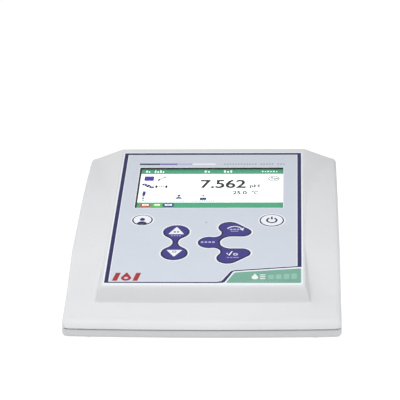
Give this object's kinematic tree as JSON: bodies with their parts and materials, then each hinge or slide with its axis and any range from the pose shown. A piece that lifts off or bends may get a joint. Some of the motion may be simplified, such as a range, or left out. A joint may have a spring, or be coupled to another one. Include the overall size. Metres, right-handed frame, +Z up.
{
  "type": "ph meter",
  "caption": "Bench pH meter with a sloping front panel, colour screen, membrane keys and rear sockets for the pH, reference and temperature probes.",
  "frame": {"origin": "on the bench plane, under the middle of the whole meter with its sockets", "axes": "+Z up, the front faces -Y, the sockets face +Y, +X is to the right of a person who reads the screen"},
  "size_m": [0.155, 0.192, 0.0706],
  "materials": {
    "case_grey": "fine satin moulded plastic",
    "case_base": "fine satin moulded plastic",
    "seal_rubber": "matt",
    "foot_rubber": "matt",
    "screw_steel": "zinc plated",
    "label_silver": "satin foil",
    "rear_plate": "satin",
    "film_print": "fine textured printed polyester film",
    "window_clear": "clear, hard coated",
    "key_white": "fine textured printed polyester film",
    "key_violet": "fine textured printed polyester film",
    "dome_steel": "bright",
    "membrane_white": "polyester sheet",
    "connector_cream": "moulded nylon",
    "led_lens": "clear green",
    "lcd_glass": "polished",
    "holder_grey": "moulded",
    "ribbon_amber": "polyimide",
    "board_green": "solder mask",
    "chip_black": "moulded epoxy",
    "shield_tin": "tin plated",
    "cell_steel": "bright",
    "post_brass": "machined",
    "ribbon_grey": "PVC ribbon",
    "socket_nickel": "nickel plated",
    "insulator_white": "PTFE",
    "contact_gold": "gold plated",
    "insulator_black": "moulded"
  },
  "bodies": {
    "case": {"upper_housing": "case_grey", "lower_housing": "case_base", "housing_seal": "seal_rubber", "housing_screws": "screw_steel", "rubber_feet": "foot_rubber", "rating_label": "label_silver", "rear_panel": "rear_plate", "panel_screws": "screw_steel", "overlay_film": "film_print", "display_window": "window_clear", "key_domes": "dome_steel", "membrane_spacer": "membrane_white", "membrane_circuit": "membrane_white", "keypad_connector": "connector_cream", "status_led": "led_lens", "lcd_panel": "lcd_glass", "lcd_frame": "holder_grey", "lcd_screws": "screw_steel", "lcd_ribbon": "ribbon_amber", "main_board": "board_green", "board_chips": "chip_black", "board_screws": "screw_steel", "input_shield": "shield_tin", "clock_battery": "cell_steel", "battery_clip": "shield_tin", "buzzer": "chip_black", "socket_board": "board_green", "board_posts": "post_brass", "board_ribbon": "ribbon_grey", "ph_socket_shell": "socket_nickel", "ph_socket_insulator": "insulator_white", "ph_socket_contact": "contact_gold", "ph_socket_washer": "screw_steel", "ph_socket_nut": "socket_nickel", "reference_socket": "contact_gold", "reference_insulator": "insulator_black", "reference_nut": "socket_nickel", "temperature_socket": "socket_nickel", "temperature_insulator": "insulator_white", "temperature_contact": "contact_gold", "power_jack": "insulator_black", "power_pin": "socket_nickel", "usb_socket": "shield_tin", "usb_tongue": "insulator_white"},
    "user_key": {"key_user": "key_white"},
    "power_key": {"key_power": "key_white"},
    "up_key": {"key_up": "key_violet"},
    "down_key": {"key_down": "key_violet"},
    "mode_key": {"key_mode": "key_violet"},
    "escape_key": {"key_escape": "key_violet"},
    "ok_key": {"key_ok": "key_violet"}
  },
  "joints": [
    {"name": "press_user", "type": "slide", "parent": "case", "child": "user_key", "axis": [0, 0.2706, -0.9627], "range_m": [0, 0.00035], "stiffness_N_per_m": 3000},
    {"name": "press_power", "type": "slide", "parent": "case", "child": "power_key", "axis": [0, 0.2706, -0.9627], "range_m": [0, 0.00035], "stiffness_N_per_m": 3000},
    {"name": "press_up", "type": "slide", "parent": "case", "child": "up_key", "axis": [0, 0.2706, -0.9627], "range_m": [0, 0.00035], "stiffness_N_per_m": 3000},
    {"name": "press_down", "type": "slide", "parent": "case", "child": "down_key", "axis": [0, 0.2706, -0.9627], "range_m": [0, 0.00035], "stiffness_N_per_m": 3000},
    {"name": "press_mode", "type": "slide", "parent": "case", "child": "mode_key", "axis": [0, 0.2706, -0.9627], "range_m": [0, 0.00035], "stiffness_N_per_m": 3000},
    {"name": "press_escape", "type": "slide", "parent": "case", "child": "escape_key", "axis": [0, 0.2706, -0.9627], "range_m": [0, 0.00035], "stiffness_N_per_m": 3000},
    {"name": "press_ok", "type": "slide", "parent": "case", "child": "ok_key", "axis": [0, 0.2706, -0.9627], "range_m": [0, 0.00035], "stiffness_N_per_m": 3000}
  ]
}
